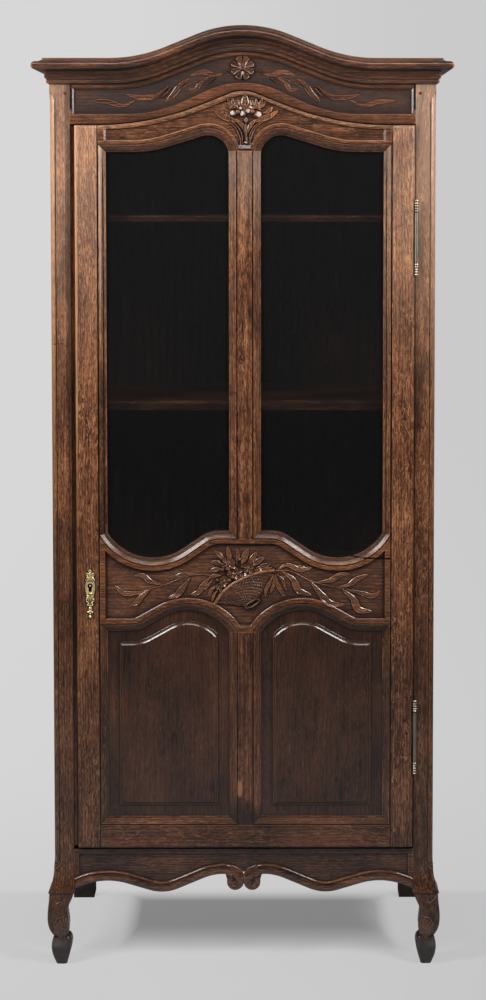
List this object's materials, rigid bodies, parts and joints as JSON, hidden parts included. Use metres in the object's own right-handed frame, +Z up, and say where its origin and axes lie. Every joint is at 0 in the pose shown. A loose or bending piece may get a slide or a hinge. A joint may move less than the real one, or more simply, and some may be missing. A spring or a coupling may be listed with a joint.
{
  "type": "bonnetiere display cabinet",
  "caption": "Tall narrow oak cupboard with an arched cornice, one glazed and panelled door on barrel hinges, a rim lock, inner shelves and cabriole front feet.",
  "frame": {"origin": "on the floor, in the middle of the overall width and depth (cornice included)", "axes": "+X to the right of someone facing the door, +Y to the back, +Z up; the door faces -Y"},
  "size_m": [0.922, 0.47, 2.1],
  "materials": {
    "frame_oak": "waxed, dark stain",
    "panel_oak": "waxed, darker stain",
    "inner_oak": "plain, unpolished",
    "window_glass": "clear",
    "escutcheon_brass": "aged brass",
    "hinge_steel": "bright iron",
    "lock_iron": "blackened iron"
  },
  "bodies": {
    "carcass": {"apron_board": "frame_oak", "back_bottom_rail": "inner_oak", "back_centre_stile": "inner_oak", "back_top_rail": "inner_oak", "bottom_board": "inner_oak", "cornice_front": "frame_oak", "cornice_left": "frame_oak", "cornice_right": "frame_oak", "door_stop_batten": "inner_oak", "frame_pegs": "panel_oak", "frieze_board": "frame_oak", "left_back_panel": "inner_oak", "left_front_post": "frame_oak", "left_rear_post": "frame_oak", "left_shelf_cleats": "inner_oak", "left_side_bottom_rail": "frame_oak", "left_side_lower_panel": "panel_oak", "left_side_middle_rail": "frame_oak", "left_side_top_rail": "frame_oak", "left_side_upper_panel": "panel_oak", "lower_hinge_post_leaf": "hinge_steel", "lower_shelf": "inner_oak", "middle_shelf": "inner_oak", "right_back_panel": "inner_oak", "right_front_post": "frame_oak", "right_rear_post": "frame_oak", "right_shelf_cleats": "inner_oak", "right_side_bottom_rail": "frame_oak", "right_side_lower_panel": "panel_oak", "right_side_middle_rail": "frame_oak", "right_side_top_rail": "frame_oak", "right_side_upper_panel": "panel_oak", "strike_plate": "lock_iron", "top_board": "inner_oak", "upper_hinge_post_leaf": "hinge_steel", "upper_shelf": "inner_oak"},
    "door": {"lock_stile": "frame_oak", "hinge_stile": "frame_oak", "door_top_rail": "frame_oak", "door_middle_rail": "frame_oak", "door_bottom_rail": "frame_oak", "upper_muntin": "frame_oak", "lower_muntin": "frame_oak", "left_glass_pane": "window_glass", "right_glass_pane": "window_glass", "left_glazing_beads": "frame_oak", "right_glazing_beads": "frame_oak", "left_door_panel": "panel_oak", "right_door_panel": "panel_oak", "escutcheon": "escutcheon_brass", "escutcheon_pins": "escutcheon_brass", "lock_case": "lock_iron", "lock_pin": "hinge_steel", "lock_screws": "lock_iron", "upper_hinge_door_leaf": "hinge_steel", "lower_hinge_door_leaf": "hinge_steel"},
    "bolt": {"lock_bolt": "lock_iron"}
  },
  "joints": [
    {"name": "door_hinge", "type": "hinge", "parent": "carcass", "child": "door", "pos_m": [0.3818, -0.2082, 0.521], "axis": [0, 0, 1], "range_deg": [0, 170]},
    {"name": "lock_bolt_slide", "type": "slide", "parent": "door", "child": "bolt", "axis": [-1, 0, 0], "range_m": [0, 0.012]}
  ]
}
